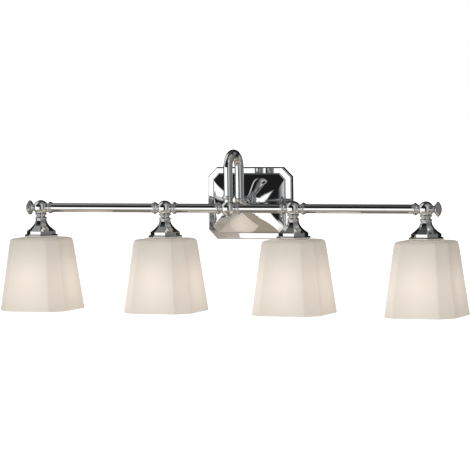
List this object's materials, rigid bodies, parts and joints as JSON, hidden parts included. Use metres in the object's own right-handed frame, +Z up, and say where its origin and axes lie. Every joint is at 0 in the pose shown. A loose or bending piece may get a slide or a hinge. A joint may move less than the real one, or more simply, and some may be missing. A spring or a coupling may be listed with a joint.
{
  "type": "vanity light bar",
  "caption": "Wall vanity light bar: chrome tube on a gooseneck arm and eight-sided plate, ball hubs with bell cups, tapered square opal glass shades and screw-in lamps.",
  "frame": {"origin": "on the wall, at the middle of the mounting strap and of the backplate", "axes": "+Z up, +X along the bar, +Y into the wall, so the light stands out towards -Y"},
  "size_m": [0.8392, 0.1711, 0.2804],
  "materials": {
    "polished_chrome": "mirror-polished chrome plate",
    "zinc_steel": "zinc-plated steel",
    "green_screw": "green-dyed zinc plate",
    "silicone": "translucent matt silicone",
    "brass": "bare brass",
    "wire_black": "insulation",
    "wire_white": "insulation",
    "socket_phenolic": "moulded phenolic, satin",
    "ring_plastic": "moulded, satin",
    "opal_glass": "white opal glass, satin outside",
    "lamp_insulator": "black vitrite glass round a solder contact",
    "lamp_cap": "rolled screw cap",
    "frosted_glass": "inside-frosted glass"
  },
  "bodies": {
    "root": {"backplate": "polished_chrome", "arm_flange": "polished_chrome", "arm_tube": "polished_chrome", "arm_collar": "polished_chrome", "centre_hub": "polished_chrome", "centre_hub_cap": "polished_chrome", "bar_tube_1": "polished_chrome", "bar_tube_2": "polished_chrome", "bar_tube_3": "polished_chrome", "bar_tube_4": "polished_chrome", "bar_collars": "polished_chrome", "end_finial_left": "polished_chrome", "end_finial_right": "polished_chrome", "mounting_strap": "zinc_steel", "backplate_screws": "polished_chrome", "ground_screw": "green_screw", "backplate_stiffener": "zinc_steel", "arm_lock_washer": "zinc_steel", "arm_locknut": "zinc_steel", "arm_nipple": "zinc_steel", "hub_nipples": "zinc_steel", "cup_nipples": "zinc_steel", "cup_nuts": "zinc_steel", "shade_gaskets": "silicone", "socket_shells": "brass", "socket_contacts": "brass", "wires_black": "wire_black", "wires_white": "wire_white", "hub_1": "polished_chrome", "cup_1": "polished_chrome", "socket_body_1": "socket_phenolic", "hub_2": "polished_chrome", "cup_2": "polished_chrome", "socket_body_2": "socket_phenolic", "hub_3": "polished_chrome", "cup_3": "polished_chrome", "socket_body_3": "socket_phenolic", "hub_4": "polished_chrome", "cup_4": "polished_chrome", "socket_body_4": "socket_phenolic"},
    "lamp_contact_body_1": {"lamp_tip_1": "lamp_insulator"},
    "lamp_body_1": {"lamp_shell_1": "lamp_cap", "lamp_glass_1": "frosted_glass"},
    "shade_body_1": {"shade_1": "opal_glass"},
    "ring_body_1": {"shade_ring_1": "ring_plastic"},
    "lamp_contact_body_2": {"lamp_tip_2": "lamp_insulator"},
    "lamp_body_2": {"lamp_shell_2": "lamp_cap", "lamp_glass_2": "frosted_glass"},
    "shade_body_2": {"shade_2": "opal_glass"},
    "ring_body_2": {"shade_ring_2": "ring_plastic"},
    "lamp_contact_body_3": {"lamp_tip_3": "lamp_insulator"},
    "lamp_body_3": {"lamp_shell_3": "lamp_cap", "lamp_glass_3": "frosted_glass"},
    "shade_body_3": {"shade_3": "opal_glass"},
    "ring_body_3": {"shade_ring_3": "ring_plastic"},
    "lamp_contact_body_4": {"lamp_tip_4": "lamp_insulator"},
    "lamp_body_4": {"lamp_shell_4": "lamp_cap", "lamp_glass_4": "frosted_glass"},
    "shade_body_4": {"shade_4": "opal_glass"},
    "ring_body_4": {"shade_ring_4": "ring_plastic"}
  },
  "joints": [
    {"name": "lamp_1_travel", "type": "slide", "parent": "root", "child": "lamp_contact_body_1", "axis": [0, 0, -1], "range_m": [0, 0.02177]},
    {"name": "lamp_1_turn", "type": "hinge", "parent": "lamp_contact_body_1", "child": "lamp_body_1", "pos_m": [-0.357, -0.1085, -0.0943], "axis": [0, 0, -1], "range_deg": [0, 2160.5]},
    {"name": "shade_1_lower", "type": "slide", "parent": "root", "child": "shade_body_1", "axis": [0, 0, -1], "range_m": [0, 0.009]},
    {"name": "ring_1_turn", "type": "hinge", "parent": "shade_body_1", "child": "ring_body_1", "pos_m": [-0.357, -0.1085, -0.0653], "axis": [0, 0, -1], "range_deg": [0, 1080.5]},
    {"name": "lamp_2_travel", "type": "slide", "parent": "root", "child": "lamp_contact_body_2", "axis": [0, 0, -1], "range_m": [0, 0.02177]},
    {"name": "lamp_2_turn", "type": "hinge", "parent": "lamp_contact_body_2", "child": "lamp_body_2", "pos_m": [-0.119, -0.1085, -0.0943], "axis": [0, 0, -1], "range_deg": [0, 2160.5]},
    {"name": "shade_2_lower", "type": "slide", "parent": "root", "child": "shade_body_2", "axis": [0, 0, -1], "range_m": [0, 0.009]},
    {"name": "ring_2_turn", "type": "hinge", "parent": "shade_body_2", "child": "ring_body_2", "pos_m": [-0.119, -0.1085, -0.0653], "axis": [0, 0, -1], "range_deg": [0, 1080.5]},
    {"name": "lamp_3_travel", "type": "slide", "parent": "root", "child": "lamp_contact_body_3", "axis": [0, 0, -1], "range_m": [0, 0.02177]},
    {"name": "lamp_3_turn", "type": "hinge", "parent": "lamp_contact_body_3", "child": "lamp_body_3", "pos_m": [0.119, -0.1085, -0.0943], "axis": [0, 0, -1], "range_deg": [0, 2160.5]},
    {"name": "shade_3_lower", "type": "slide", "parent": "root", "child": "shade_body_3", "axis": [0, 0, -1], "range_m": [0, 0.009]},
    {"name": "ring_3_turn", "type": "hinge", "parent": "shade_body_3", "child": "ring_body_3", "pos_m": [0.119, -0.1085, -0.0653], "axis": [0, 0, -1], "range_deg": [0, 1080.5]},
    {"name": "lamp_4_travel", "type": "slide", "parent": "root", "child": "lamp_contact_body_4", "axis": [0, 0, -1], "range_m": [0, 0.02177]},
    {"name": "lamp_4_turn", "type": "hinge", "parent": "lamp_contact_body_4", "child": "lamp_body_4", "pos_m": [0.357, -0.1085, -0.0943], "axis": [0, 0, -1], "range_deg": [0, 2160.5]},
    {"name": "shade_4_lower", "type": "slide", "parent": "root", "child": "shade_body_4", "axis": [0, 0, -1], "range_m": [0, 0.009]},
    {"name": "ring_4_turn", "type": "hinge", "parent": "shade_body_4", "child": "ring_body_4", "pos_m": [0.357, -0.1085, -0.0653], "axis": [0, 0, -1], "range_deg": [0, 1080.5]}
  ],
  "couplings": [
    {"joint": "lamp_1_turn", "follows": "lamp_1_travel", "rad_per_m": 1731.9},
    {"joint": "ring_1_turn", "follows": "shade_1_lower", "rad_per_m": 2094.4},
    {"joint": "lamp_2_turn", "follows": "lamp_2_travel", "rad_per_m": 1731.9},
    {"joint": "ring_2_turn", "follows": "shade_2_lower", "rad_per_m": 2094.4},
    {"joint": "lamp_3_turn", "follows": "lamp_3_travel", "rad_per_m": 1731.9},
    {"joint": "ring_3_turn", "follows": "shade_3_lower", "rad_per_m": 2094.4},
    {"joint": "lamp_4_turn", "follows": "lamp_4_travel", "rad_per_m": 1731.9},
    {"joint": "ring_4_turn", "follows": "shade_4_lower", "rad_per_m": 2094.4}
  ]
}
